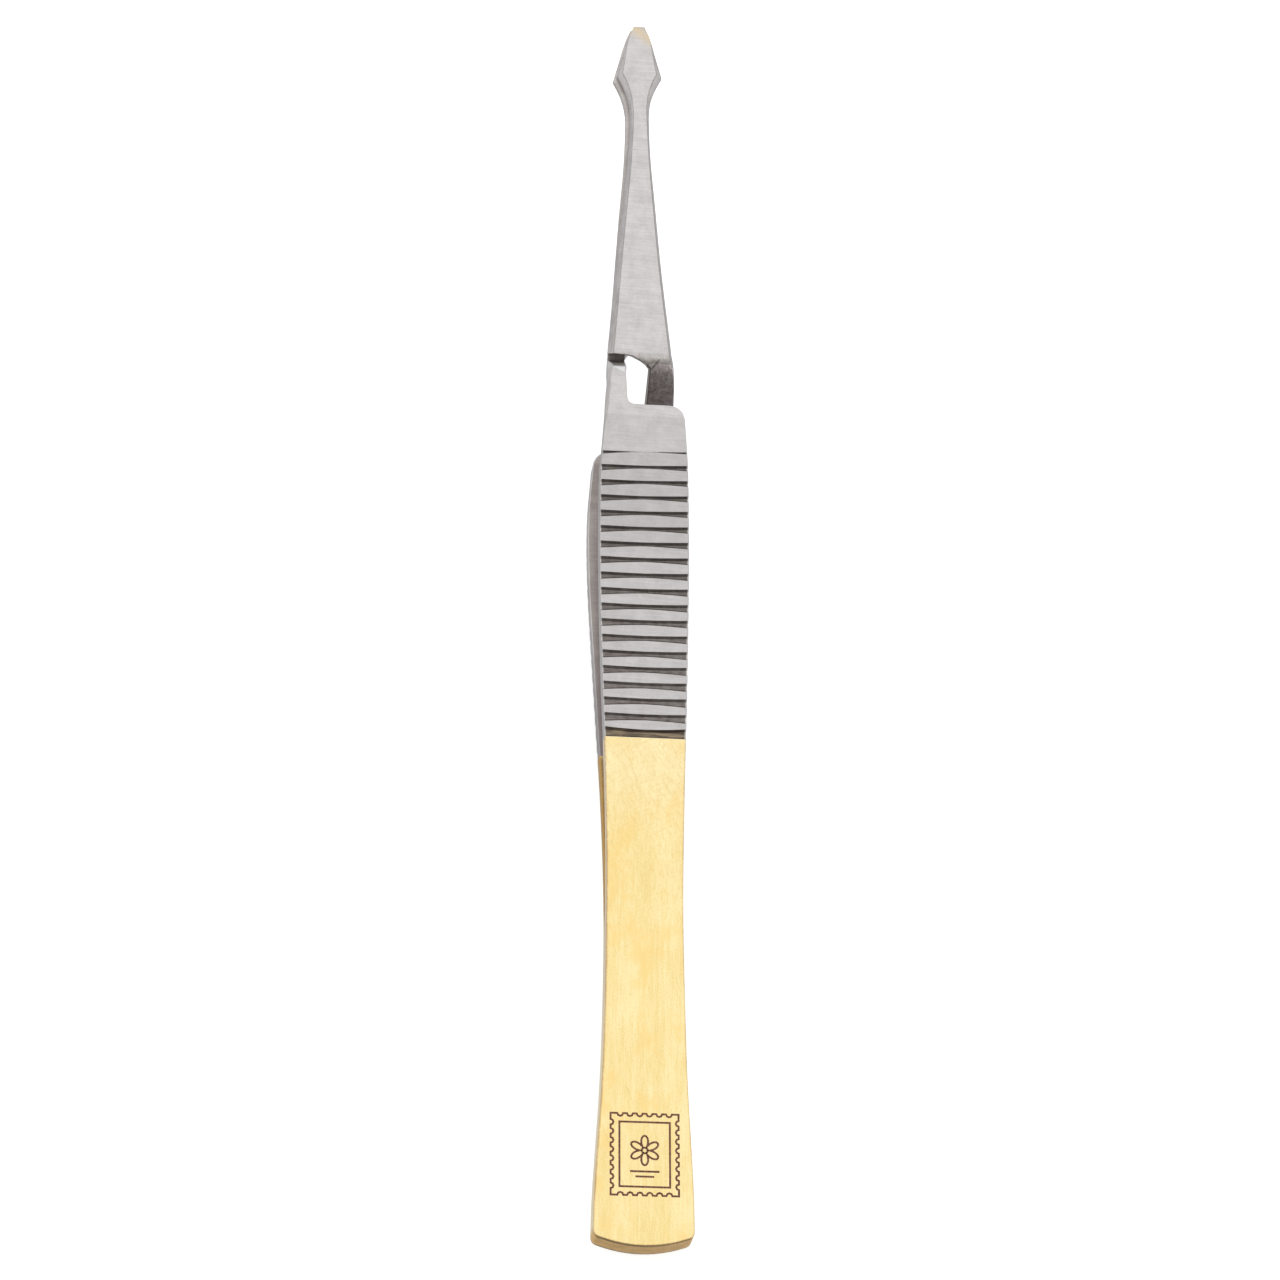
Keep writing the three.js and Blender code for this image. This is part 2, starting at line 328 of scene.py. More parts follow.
def left_edge(arm, s):
    on_neck = s > arm.neck_outer[0][0]
    return -smooth(arm.neck_outer, s) if on_neck else -handle_half_width(s)


def blade_edge(s):
    if s > SPADE_CORNER:
        return straight_between(SPADE_HALF_WIDTHS, s)
    return smooth(BLADE_HALF_WIDTHS, s)


def neck_inner_edge(arm, s):
    straight = straight_between(arm.neck_inner, s)
    down = max(0.0, (SHOULDER + NOTCH_RADIUS - s) / NOTCH_RADIUS)
    return straight + NOTCH_RADIUS - NOTCH_RADIUS * sqrt(max(0.0, 1 - down * down))


def heel_end():
    """Points along the heel's curved end, from left to right, between its rounded corners."""
    end_x, end_s = HEEL_CORNER[-1]

    def on_corner(t):
        weights = ((1 - t) ** 2, 2 * t * (1 - t), t * t)
        return [sum(w * p[k] for w, p in zip(weights, HEEL_CORNER)) for k in (0, 1)]

    left = [(-x, s) for x, s in map(on_corner, (0.25, 0.5, 0.75, 1))]
    arc = [(x, end_s * (x / end_x) ** 2) for x in np.linspace(-end_x, end_x, 13)[1:-1]]
    return left + arc + [(-x, s) for x, s in reversed(left)]


def handle_rows():
    """Each row as a function from x to s, from the heel to the end of the grip."""
    flat = [HEEL_CORNER_START, 2.4, *np.arange(4, 26, 2), *np.arange(26, 45, 1), 45, PLATING_END]
    rows = [lambda x, s=float(s): s for s in flat]
    for i in reversed(range(GROOVE_COUNT)):
        rows += groove_rows(i)
        if i > 0:
            rows.append(lambda x, i=i: (groove_edges(i, x)[1] + groove_edges(i - 1, x)[0]) / 2)
    rows += [lambda x, s=s: s for s in (72.9, 73.8, 74.7)]
    turns = np.radians([0, 18, 36, 52, 66, 79])
    rows += [lambda x, s=SHOULDER - SHOULDER_RADIUS + SHOULDER_RADIUS * sin(a): s for a in turns]
    return rows


def outline(arm):
    """The loop of points round the arm, anticlockwise, and the rows that cross it. A row is the indices of
    its two end points and a function from x to s."""
    right, left, crossings = [], [], []

    def add_row(left_point, right_point, crossing=None):
        if crossing:
            crossings.append((len(left), len(right), crossing))
        left.append(left_point)
        right.append(right_point)

    for row in handle_rows():
        near = row(0.0)
        width = handle_half_width(near)
        edge = left_edge(arm, near)
        add_row((edge, row(edge)), (width, row(width)), row if near < SHOULDER - 0.2 else None)
    right += [(x, SHOULDER) for x in np.linspace(SHOULDER_HALF_WIDTH - SHOULDER_RADIUS, 0.0, 5)]
    add_row((left_edge(arm, SHOULDER), SHOULDER), (neck_inner_edge(arm, SHOULDER), SHOULDER))
    notch = [SHOULDER + NOTCH_RADIUS * (1 - cos(a)) for a in np.radians([25, 45, 65, 90])]
    bend = [*(NECK_BEND + np.array([-0.45, -0.35, -0.25, 0.1])), *(FACET_END + np.array([-0.1, 0.0, 0.1]))]
    crossing = np.linspace(CROSSING - 0.85, CROSSING + 0.55, 9)
    turn = [knot[0] for knot in arm.neck_inner if knot[0] > 82]
    neck = sorted({79.3, *bend, 81.8, 82.4, *crossing, *turn})
    neck = [s for before, s in zip([SHOULDER, *neck], neck) if s - before > 0.09 and s <= turn[-1]]
    for s in notch + neck:
        add_row((left_edge(arm, s), s), (neck_inner_edge(arm, s), s), lambda x, s=float(s): s)
    base = arm.blade_base
    right += arm.base_edge + [(blade_edge(base) - 0.5, base)]
    blade = [base, base + 0.9, *np.arange(88, 101, 2), *np.arange(101, 109, 1), *np.linspace(109, 113.6, 9),
             SPADE_CORNER, 115.2, 116.2, 117.2, 117.8, 118.4, 119, 119.5, LENGTH]
    for s in blade:
        inside = base < s < LENGTH
        add_row((-blade_edge(s), s), (blade_edge(s), s), (lambda x, s=float(s): s) if inside else None)
    end = heel_end()
    tip = [(x, LENGTH) for x in (0.25, 0.0, -0.25)]
    loop = end + right + tip + left[::-1]
    first_left = len(end) + len(right) + len(tip) + len(left) - 1
    rows = [(first_left - a, len(end) + b, crossing) for a, b, crossing in crossings]
    return [(float(x), float(s)) for x, s in loop], rows


# ---------- edges ----------


def edge_style(arm, face, x, s, across):
    """Width, drop and flatness of the rounding or bevel at a point of the outline.
    across is True where the edge runs across the arm."""
    lean = 1.1 if arm.side * x < 0 else mix(0.72, 1.15, ease(108, 113, s))
    if s < arm.blade_base - 0.02:
        size = EDGE_ROUNDING if face == "outer" else mix(0.02, INNER_ROUNDING, ease(26, 34, s))
        if face == "outer":
            size = mix(size, MATING_ROUNDING, ease(83.2, CROSSING, s))
            chamfer = ease(74.2, 77.2, s) * (1 - ease(82.2, CROSSING, s)) * (x < -2)
            return mix(size, NECK_CHAMFER[0], chamfer), mix(size, NECK_CHAMFER[1], chamfer), chamfer
        if x > -2:
            return size, size, 0.0
        grow = ease(arm.blade_base - 1.8, arm.blade_base, s)
        width, drop = BEVEL_WIDTHS[0][1] * lean, BEVEL_SHARE * BLADE_BASE_THICKNESS
        return mix(size, width, grow), mix(size, drop, grow), grow
    if face == "outer" or across:
        return MATING_ROUNDING, MATING_ROUNDING, 0.0
    fade = 1 - ease(116.5, 118.6, s)
    width = straight_between(BEVEL_WIDTHS, s) * lean
    drop = mix(MATING_ROUNDING, BEVEL_SHARE * blade_thickness(s), fade)
    return width, drop, fade


# Which finish a face takes: the order of the materials on each piece
FACE, EDGE, SIDE, INNER, GROOVE, LINE = range(6)

# Share of the width moved in, and of the drop that is left, at each ring
ROUND_RINGS = [(0.0, 1.0), (0.134, 0.5), (0.5, 0.134), (1.0, 0.0)]
BEVEL_RINGS = [(0.0, 1.0), (0.07, 0.84), (0.8, 0.11), (1.0, 0.0)]


def in_window(x, s):
    """Whether a point of the outline is on the neck's inner edge, which takes the dark groove finish: partly
    scale, partly painted shade between the necks.
    """
    return x > -2 and SHOULDER + 0.05 < s < CROSSING - 0.2


def inward_offset(before, here, after, width_before, width_after):
    """How far a corner of the outline moves in when its two edges move in by their own widths."""
    first = np.subtract(here, before)
    second = np.subtract(after, here)
    first = np.array([-first[1], first[0]]) / np.linalg.norm(first)
    second = np.array([-second[1], second[0]]) / np.linalg.norm(second)
    turn = first[0] * second[1] - first[1] * second[0]
    if abs(turn) > 0.3:
        return np.linalg.solve(np.array([first, second]), np.array([width_before, width_after]))
    middle = first + second
    return middle / middle.dot(middle) * (width_before + width_after)


def rings(arm, loop, face):
    """For each ring, the (x, s, drop) of every point of the outline."""
    count = len(loop)
    widths = []
    for k in range(count):
        a, b = np.array(loop[k]), np.array(loop[(k + 1) % count])
        middle = (a + b) / 2
        across = abs(b[0] - a[0]) > 2 * abs(b[1] - a[1])
        widths.append(edge_style(arm, face, middle[0], middle[1], across)[0])
    made = [[] for _ in ROUND_RINGS]
    for k, here in enumerate(loop):
        before, after = loop[k - 1], loop[(k + 1) % count]
        offset = inward_offset(before, here, after, widths[k - 1], widths[k])
        step_in, step_out = np.subtract(here, before), np.subtract(after, here)
        across = abs(step_in[0]) > 2 * abs(step_in[1]) and abs(step_out[0]) > 2 * abs(step_out[1])
        _, drop, flatness = edge_style(arm, face, here[0], here[1], across)
        for ring, (round_, bevel) in zip(made, zip(ROUND_RINGS, BEVEL_RINGS)):
            share, fall = mix(round_[0], bevel[0], flatness), mix(round_[1], bevel[1], flatness)
            ring.append((here[0] + offset[0] * share, here[1] + offset[1] * share, drop * fall))
    return made


# ---------- the arm's mesh ----------


def add_point(mesh, x, s, face, drop):
    """A vertex at the drawing's point (x, s) on one face of the arm, sunk by drop."""
    outer, inner = profile(s)
    full = np.linalg.norm(outer - inner)
    if face == "outer" and PLATING_END < s < GROOVES_END:
        drop += groove_depth(x, s)
    depth = drop if face == "outer" else full - drop
    at = outer + (inner - outer) * (depth / full)
    vert = mesh.verts.new((x, at[0], at[1]))
    vert[mesh.verts.layers.float["depth"]] = depth
    return vert


def finish_of(arm, x, s, face):
    """The finish of a triangle inside a face: the blades' broad faces are the drawing's inner ones."""
    if face == "outer":
        if s > CROSSING:
            return INNER
        return GROOVE if PLATING_END < s < GROOVES_END and groove_depth(x, s) > 0.014 else FACE
    return FACE if s > CROSSING else INNER


def fill_face(mesh, arm, loop, rows, face, ring_points):
    """Rings of quads round one face, and triangles between the rows inside the last ring."""
    verts = [[add_point(mesh, x, s, face, drop) for x, s, drop in ring] for ring in ring_points]
    count = len(loop)
    for ring, (outer_ring, inner_ring) in enumerate(zip(verts, verts[1:])):
        for k in range(count):
            after = (k + 1) % count
            quad = mesh.faces.new((outer_ring[k], outer_ring[after], inner_ring[after], inner_ring[k]))
            if in_window(*loop[k]) and face == "inner":
                quad.material_index = GROOVE
            else:
                quad.material_index = (SIDE, SIDE, LINE)[ring] if loop[k][1] > CROSSING else EDGE
    last = [Vector(point[:2]) for point in ring_points[-1]]
    points, edges = list(last), []
    for a, b, crossing in rows:
        start, end = last[a], last[b]
        columns = 5 if end.x - start.x > 3 else 2
        chain = [a]
        for t in np.linspace(0, 1, columns + 2)[1:-1]:
            x = mix(start.x, end.x, t)
            chain.append(len(points))
            points.append(Vector((x, crossing(x))))
        chain.append(b)
        edges += list(zip(chain, chain[1:]))
    found = delaunay_2d_cdt(points, edges, [list(range(count))], 1, 1e-5)
    made = []
    for at, sources in zip(found[0], found[3]):
        ring_source = [k for k in sources if k < count]
        if ring_source:
            made.append(verts[-1][ring_source[0]])
        else:
            made.append(add_point(mesh, at.x, at.y, face, 0.0))
    for triangle in found[2]:
        corners = [made[k] for k in triangle]
        if len(set(corners)) == 3:
            middle = sum((found[0][k] for k in triangle), Vector((0, 0))) / 3
            mesh.faces.new(corners).material_index = finish_of(arm, middle.x, middle.y, face)
    return verts[0]


def arm_mesh(arm):
    """A whole arm as one closed bmesh, in millimetres of the drawing."""
    loop, rows = outline(arm)
    mesh = bmesh.new()
    mesh.verts.layers.float.new("depth")
    rims = [fill_face(mesh, arm, loop, rows, face, rings(arm, loop, face)) for face in ("outer", "inner")]
    for k in range(len(loop)):
        after = (k + 1) % len(loop)
        wall = mesh.faces.new((rims[0][k], rims[0][after], rims[1][after], rims[1][k]))
        wall.material_index = GROOVE if in_window(*loop[k]) else SIDE
    bmesh.ops.remove_doubles(mesh, verts=mesh.verts, dist=1e-4)
    bmesh.ops.recalc_face_normals(mesh, faces=mesh.faces)
    return mesh


# ---------- pieces ----------


def to_piece(mesh, name, materials, sharp=40):
    """An object in the frame from a bmesh in the drawing's millimetres. Its materials read those as rest."""
    data = bpy.data.meshes.new(name)
    mesh.to_mesh(data)
    mesh.free()
    at_rest = np.zeros(len(data.vertices) * 3, np.float32)
    data.vertices.foreach_get("co", at_rest)
    data.attributes.new("rest", "FLOAT_VECTOR", "POINT").data.foreach_set("vector", at_rest)
    data.transform(Matrix.Translation((0, HEEL_Y, MEETING_Z)) @ Matrix.Scale(MM, 4))
    data.polygons.foreach_set("use_smooth", [True] * len(data.polygons))
    data.set_sharp_from_angle(angle=radians(sharp))
    for material in materials:
        data.materials.append(material)
    piece = bpy.data.objects.new(name, data)
    bpy.context.scene.collection.objects.link(piece)
    weighted = piece.modifiers.new("even_normals", "WEIGHTED_NORMAL")
    weighted.mode = "FACE_AREA"
    weighted.keep_sharp = True
    return piece


def arm_piece(name, arm, source, near, materials):
    """The heel's end (near) or the tip's end of an arm."""
    part = source.copy()
    bmesh.ops.bisect_plane(
        part, geom=part.verts[:] + part.edges[:] + part.faces[:], dist=1e-4,
        plane_co=(0, PLATING_END, 0), plane_no=(0, 1 if near else -1, 0), clear_outer=True)
    bmesh.ops.holes_fill(part, edges=[edge for edge in part.edges if edge.is_boundary], sides=0)
    bmesh.ops.recalc_face_normals(part, faces=part.faces)
    for vert in part.verts:
        x, y, z = vert.co
        far = ease(88, 110, y)
        x = arm.side * x + smooth(arm.wander, y) + arm.blade_shift[0] * far
        vert.co = Vector((x, y + arm.blade_shift[1] * far, arm.side * z))
    return to_piece(part, name, materials)


# ---------- the mark on the heel ----------

MARK_MIDDLE = (0.1, 8.0)
MARK_SIZE = (5.8, 7.2)
MARK_LINE = 0.17
MARK_TOP, MARK_BOTTOM = HEEL_THICKNESS + 0.008, HEEL_THICKNESS - 0.05
MARK_FRAME_INSET = 0.75
ROSETTE_Y = 0.35


def add_ribbon(mesh, points, closed, width=MARK_LINE):
    """A flat line of the mark, as a thin closed prism let into the plate."""
    points = [Vector((x + MARK_MIDDLE[0], y + MARK_MIDDLE[1])) for x, y in points]
    count = len(points)
    columns = []
    for k, here in enumerate(points):
        before = points[k - 1] if closed or k > 0 else here
        after = points[(k + 1) % count] if closed or k < count - 1 else here
        steps = [(b - a).normalized() for a, b in ((before, here), (here, after)) if (b - a).length > 1e-9]
        normals = [Vector((-step.y, step.x)) for step in steps]
        middle = sum(normals, Vector((0, 0)))
        offset = middle * (width * len(normals) / 2 / middle.length_squared)
        corners = [here + offset, here - offset]
        columns.append([mesh.verts.new((c.x, c.y, z)) for z in (MARK_TOP, MARK_BOTTOM) for c in corners])
    pairs = list(zip(columns, columns[1:])) + ([(columns[-1], columns[0])] if closed else [])
    for first, second in pairs:
        for a, b in ((0, 1), (1, 3), (3, 2), (2, 0)):
            mesh.faces.new((first[a], first[b], second[b], second[a]))
    if not closed:
        for end in (columns[0], columns[-1]):
            mesh.faces.new((end[0], end[1], end[3], end[2]))


def perforated_edge(width, height, across, up):
    """The outline of a stamp: a rectangle whose sides are bitten by half circles."""
    points = []
    corners = [(-1, -1), (1, -1), (1, 1), (-1, 1)]
    for k, (a, b) in enumerate(zip(corners, corners[1:] + corners[:1])):
        start = Vector((a[0] * width / 2, a[1] * height / 2))
        end = Vector((b[0] * width / 2, b[1] * height / 2))
        bites = across if k % 2 == 0 else up
        points.append(start)
        plain = (end - start).normalized() * 0.4
        start, end = start + plain, end - plain
        step = (end - start) / bites
        onward, inward = step.normalized(), Vector((-step.y, step.x)).normalized()
        radius = step.length * 0.3
        for i in range(bites):
            middle = start + step * (i + 0.5)
            turns = np.radians([180, 135, 90, 45, 0])
            points.append(start + step * i)
            points += [middle + onward * radius * cos(t) + inward * radius * sin(t) for t in turns]
    return points


def rosette(petals, small, large):
    """A closed line of round petals."""
    turns = np.linspace(0, 2 * pi, petals * 10, endpoint=False)
    reaches = [mix(small, large, abs(sin(petals * t / 2))) for t in turns]
    return [(reach * cos(t), reach * sin(t) + ROSETTE_Y) for reach, t in zip(reaches, turns)]


def circle(radius):
    """The closed line in the rosette's middle."""
    turns = np.linspace(0, 2 * pi, 12, endpoint=False)
    return [(radius * cos(t), radius * sin(t) + ROSETTE_Y) for t in turns]


def mark_mesh():
    """A generic postage stamp: perforated edge, frame, rosette and ruled lines."""
    mesh = bmesh.new()
    mesh.verts.layers.float.new("depth")
    width, height = MARK_SIZE
    add_ribbon(mesh, perforated_edge(width, height, 6, 8), True)
    side, top = width / 2 - MARK_FRAME_INSET, height / 2 - MARK_FRAME_INSET
    add_ribbon(mesh, [(-side, -top), (side, -top), (side, top), (-side, top)], True)
    add_ribbon(mesh, rosette(6, 0.42, 1.3), True)
    add_ribbon(mesh, circle(0.26), True)
    for y, reach in ((-1.5, 1.25), (-1.95, 0.8)):
        add_ribbon(mesh, [(-reach, y), (0, y), (reach, y)], False)
    bmesh.ops.recalc_face_normals(mesh, faces=mesh.faces)
    return mesh


# ---------- materials ----------


def add_node(tree, kind, inputs=(), output=0, **settings):
    """Add a node whose inputs are values or other nodes' outputs, and return one of its outputs."""
    made = tree.nodes.new(kind)
    for key, value in settings.items():
        setattr(made, key, value)
    for key, value in dict(inputs).items():
        if isinstance(value, bpy.types.NodeSocket):
            tree.links.new(value, made.inputs[key])
        else:
            made.inputs[key].default_value = value
    return made.outputs[output]


class Finish:
    """A procedural metal under construction. Its methods return the output of the node they add, and places
    in it are the drawing's millimetres."""

    def __init__(self, name, roughness, metallic=1.0):
        self.material = bpy.data.materials.new(name)
        self.material.use_nodes = True
        self.tree = self.material.node_tree
        self.shader = self.tree.nodes["Principled BSDF"]
        self.shader.inputs["Metallic"].default_value = metallic
        self.shader.inputs["Roughness"].default_value = roughness

    def node(self, kind, inputs=(), output=0, **settings):
        return add_node(self.tree, kind, inputs, output, **settings)

    def rest(self):
        return self.node("ShaderNodeAttribute", attribute_name="rest", output=1)

    def depth(self):
        return self.node("ShaderNodeAttribute", attribute_name="depth", output=2)

    def part_of_rest(self, axis):
        return self.node("ShaderNodeSeparateXYZ", {0: self.rest()}, output="XYZ".index(axis))

    def noise(self, per_mm, detail=4.0, roughness=0.6, turn=0.0, shift=0.0):
        """Noise with so many features for each millimetre along x, y and z, its grain turned about z."""
        place = self.node("ShaderNodeMapping", {0: self.rest(), 1: (shift, shift, 0), 2: (0, 0, turn)})
        grain = self.node("ShaderNodeMapping", {0: place, 3: per_mm})
        return self.node("ShaderNodeTexNoise", {"Vector": grain, "Scale": 1.0, "Detail": detail,
                                                "Roughness": roughness})

    def math(self, operation, a, b=0.0, clamp=False):
        return self.node("ShaderNodeMath", {0: a, 1: b}, operation=operation, use_clamp=clamp)

    def level(self, value, low, high, smooth_ends=True):
        """0 where value is at low and 1 where it is at high."""
        kind = "SMOOTHSTEP" if smooth_ends else "LINEAR"
        return self.node("ShaderNodeMapRange", {0: value, 1: low, 2: high}, interpolation_type=kind)

    def blend(self, share, a, b):
        """Colour a where share is 0 and b where it is 1."""
        a, b = (c if isinstance(c, bpy.types.NodeSocket) else (*c, 1) for c in (a, b))
        return self.node("ShaderNodeMix", {0: share, 6: a, 7: b}, data_type="RGBA", output=2)

    def sum(self, *weighted):
        """The weighted sum of (weight, value) pairs."""
        total = None
        for weight, value in weighted:
            term = self.math("MULTIPLY", value, weight)
            total = term if total is None else self.math("ADD", total, term)
        return total

    def product(self, *values):
        total = values[0]
        for value in values[1:]:
            total = self.math("MULTIPLY", total, value)
        return total

    def lower_arm(self):
        """1 on the lower arm and 0 on the upper."""
        return self.level(self.part_of_rest("Z"), 0.1, -0.1)

    def finish(self, color, roughness=None, height=None, bump=0.3, distance=0.00002):
        self.tree.links.new(color, self.shader.inputs["Base Color"])
        if roughness is not None:
            self.tree.links.new(roughness, self.shader.inputs["Roughness"])
        if height is not None:
            normal = self.node("ShaderNodeBump", {"Strength": bump, "Distance": distance, "Height": height})
            self.tree.links.new(normal, self.shader.inputs["Normal"])
        return self.material


def add_scale_and_shade(finish, color, low, light, dark):
    """Dark patches over the bent neck, beyond the station low: partly scale, partly painted shade."""
    along_arm = finish.part_of_rest("Y")
    patches = finish.noise((1.9, 1.9, 1.9), detail=6.0, roughness=0.72, shift=25.0)
    fine = finish.noise((6.0, 1.6, 6.0), detail=5.0, roughness=0.7, shift=31.0)
    mottle = finish.level(finish.sum((0.6, patches), (0.4, fine)), 0.4, 0.6, smooth_ends=False)
    ragged = finish.sum((1.0, along_arm), (1.5, patches))
    # painted shade: the neck's dark patches stand partly for shade on the bent metal
    reach = finish.product(finish.level(along_arm, low, low + 0.06), finish.level(ragged, 85.6, 84.1), 0.9)
    return finish.blend(reach, color, finish.blend(mottle, dark, light))


def add_facet_highlight(finish, color):
    """A painted highlight: a bright wedge on the facet along the neck's outer bend."""
    along_arm = finish.part_of_rest("Y")
    wedge = finish.sum((1.0, along_arm), (0.63, finish.part_of_rest("X")))
    before_end = finish.level(along_arm, FACET_END, FACET_END - 0.06)
    # painted highlight on the facet
    facet = finish.product(finish.level(wedge, 79.22, 79.34), before_end, 0.6)
    return finish.blend(facet, color, (0.86, 0.85, 0.87))


def add_shade(finish, color):
    """Painted shade over the inner side, from the neck's bend back along the whole grip."""
    shade = finish.product(finish.level(finish.part_of_rest("Y"), 82.7, 80.8), 0.33)
    return finish.blend(shade, color, (0.25, 0.18, 0.16))


def add_crease_shade(finish, color):
    """Painted shade along one crease in the lower arm's bend. The upper arm has no metal there."""
    start, end = Vector((1.0, 83.05)), Vector((1.8, 83.96))
    reach = (end - start).length / 2
    way = (end - start).normalized()
    place = finish.node("ShaderNodeVectorMath", {0: finish.rest(), 1: (*start, 0)}, operation="SUBTRACT")
    along_crease, off = (
        finish.node("ShaderNodeVectorMath", {0: place, 1: axis}, output=1, operation="DOT_PRODUCT")
        for axis in ((way.x, way.y, 0), (-way.y, way.x, 0)))
    near = finish.level(finish.math("ABSOLUTE", off), 0.13, 0.03)
    from_middle = finish.math("ABSOLUTE", finish.math("SUBTRACT", along_crease, reach))
    # painted shade in the crease
    crease = finish.product(near, finish.level(from_middle, reach, 0.35), 0.75)
    return finish.blend(crease, color, (0.12, 0.095, 0.085))


def ground_steel(name, light, dark, roughness, across=True, marks=()):
    """Ground steel: fine streaks along one direction, cloudy patches, stray scratches and pits. Each of the
    marks is a function from the finish and its colour to a new colour."""
    finish = Finish(name, roughness)
    long, fine = 0.35, 7.0
    grain = (long, fine, fine) if across else (fine, long, fine)
    streaks = finish.noise(grain, detail=5.0, turn=0.04)
    clouds = finish.noise((0.9, 0.7, 0.9), detail=3.0, shift=7.0)
    specks = finish.noise((4.5, 4.5, 4.5), detail=2.0, shift=3.0)
    scratch = finish.level(finish.noise((0.25, 6.0, 2.0), detail=1.0, turn=0.6, shift=11.0), 0.68, 0.74)
    tone = finish.sum((0.75, streaks), (0.6, clouds), (0.35, specks))
    share = finish.level(tone, 0.62, 1.08, smooth_ends=False)
    color = finish.blend(share, dark, light)
    color = finish.blend(finish.product(scratch, 0.16), color, [c * 1.15 for c in light])
    rough = finish.math("ADD", finish.sum((0.16, streaks), (0.1, specks)), roughness - 0.13)
    height = finish.sum((1.0, streaks), (0.3, specks), (-0.4, scratch))
    along_arm = finish.part_of_rest("Y")
    # Painted shade: darker before the shoulder, where the face tilts another way to the light
    grip = finish.level(along_arm, 76.1, 75.7)
    color = finish.blend(finish.product(grip, 0.2), color, (0.3, 0.29, 0.29))
    upper_arm = finish.math("SUBTRACT", 1.0, finish.lower_arm())
    # Painted shade over the upper arm's ridges nearest the shoulder
    ridge_shade = finish.product(finish.level(along_arm, 60.0, 67.0), finish.level(along_arm, 72.4, 71.9))
    color = finish.blend(finish.product(ridge_shade, upper_arm, 0.14), color, (0.2, 0.185, 0.18))
    # Painted shade on the lower arm's grip towards the plating, under the upper arm
    painted_shade = finish.product(finish.lower_arm(), finish.level(along_arm, 60.0, 47.0), 0.55)
    color = finish.blend(painted_shade, color, (0.22, 0.2, 0.215))
    for mark in marks:
        color = mark(finish, color)
    slanted = finish.sum((1.0, along_arm), (0.8, finish.part_of_rest("X")), (1.0, specks))
    tip = finish.product(finish.level(slanted, 118.6, 120.8), finish.level(clouds, 0.3, 0.55))
    color = finish.blend(finish.product(tip, 0.75), color, (0.7, 0.53, 0.27))
    return finish.finish(color, rough, height, bump=0.25)


def groove_steel(name, light, dark, roughness):
    """Dark scale left in the cut grooves, rubbed lighter in patches and stained where the plating ends."""
    finish = Finish(name, roughness, metallic=0.85)
    streaks = finish.noise((0.8, 6.0, 4.0), detail=5.0)
    clouds = finish.noise((1.6, 1.6, 1.6), detail=4.0, shift=5.0)
    share = finish.level(finish.sum((0.5, streaks), (0.5, clouds)), 0.36, 0.64, smooth_ends=False)
    color = finish.blend(share, dark, light)
    along_arm = finish.part_of_rest("Y")
    # Painted shade in the narrower grooves near the shoulder
    narrow_groove_shade = finish.product(finish.level(along_arm, 54.0, 66.0), 0.45)
    color = finish.blend(narrow_groove_shade, color, (0.1, 0.083, 0.076))
    stain = finish.level(along_arm, PLATING_END + 1.25, PLATING_END + 0.95)
    smears = finish.level(finish.noise((0.45, 5.0, 3.0), detail=4.0, shift=15.0), 0.4, 0.68)
    color = finish.blend(stain, color, finish.blend(smears, (0.1, 0.078, 0.06), (0.3, 0.235, 0.16)))
    rough = finish.math("ADD", finish.product(clouds, 0.2), roughness - 0.1)
    return finish.finish(color, rough, finish.sum((1.0, clouds), (0.5, streaks)), bump=0.4)


def gold_plate(name, light, dark, warm, roughness, tarnish, worn, painted_shade=0.0):
    """Gold plate over ground steel: streaks along the arm, warm patches, fine scratches and brown spots."""
    finish = Finish(name, roughness)
    streaks = finish.noise((5.0, 0.14, 5.0), detail=5.0, turn=0.02)
    fine = finish.noise((11.0, 0.7, 11.0), detail=3.0, shift=4.0)
    grain = finish.noise((7.0, 5.0, 7.0), detail=3.0, roughness=0.7, shift=17.0)
    clouds = finish.noise((0.5, 0.16, 0.5), detail=4.0, shift=9.0)
    tone = finish.sum((0.45, streaks), (0.45, fine), (0.5, clouds), (0.5, grain))
    color = finish.blend(finish.level(tone, 0.8, 1.1, smooth_ends=False), dark, light)
    patchy = finish.noise((0.32, 0.2, 0.32), detail=5.0, roughness=0.65, shift=21.0)
    color = finish.blend(finish.product(finish.level(patchy, 0.5, 0.66), 0.7), color, warm)
    along_arm = finish.part_of_rest("Y")
    pale = finish.product(finish.level(along_arm, 36.0, 44.0), 0.3)
    color = finish.blend(pale, color, (1.0, 0.9, 0.62))
    hatch = finish.noise((0.7, 7.0, 3.0), detail=5.0, roughness=0.75, turn=1.0, shift=2.0)
    cross = finish.noise((1.4, 4.0, 3.0), detail=5.0, roughness=0.75, turn=-0.5, shift=6.0)
    near_grip = finish.product(finish.level(along_arm, 28.0, 42.0), 0.5)
    everywhere = finish.level(finish.noise((0.3, 5.0, 3.0), detail=1.0, turn=1.2, shift=8.0), 0.68, 0.74)
    hatching = finish.math("MAXIMUM", finish.level(hatch, 0.5, 0.64),
                           finish.product(finish.level(cross, 0.5, 0.62), 0.7))
    scratch = finish.math("MAXIMUM", finish.product(hatching, near_grip), finish.product(everywhere, 0.4))
    color = finish.blend(scratch, color, [c * 0.85 for c in warm])
    spots = finish.level(finish.noise((1.3, 1.3, 1.3), detail=6.0, roughness=0.75, shift=13.0), 0.64, 0.74)
    color = finish.blend(finish.product(spots, worn), color, tarnish)
    # Painted shade on the lower arm's plated leaf, under the upper arm
    if painted_shade:
        below = finish.product(finish.lower_arm(), finish.level(along_arm, 28.0, 31.0), painted_shade)
        color = finish.blend(below, color, (0.48, 0.27, 0.05))
    rough = finish.math("ADD", finish.sum((0.14, streaks), (0.1, fine), (0.12, scratch)), roughness - 0.12)
    height = finish.sum((0.6, streaks), (0.5, fine), (0.4, grain), (-0.6, scratch))
    return finish.finish(color, rough, height, bump=0.2)


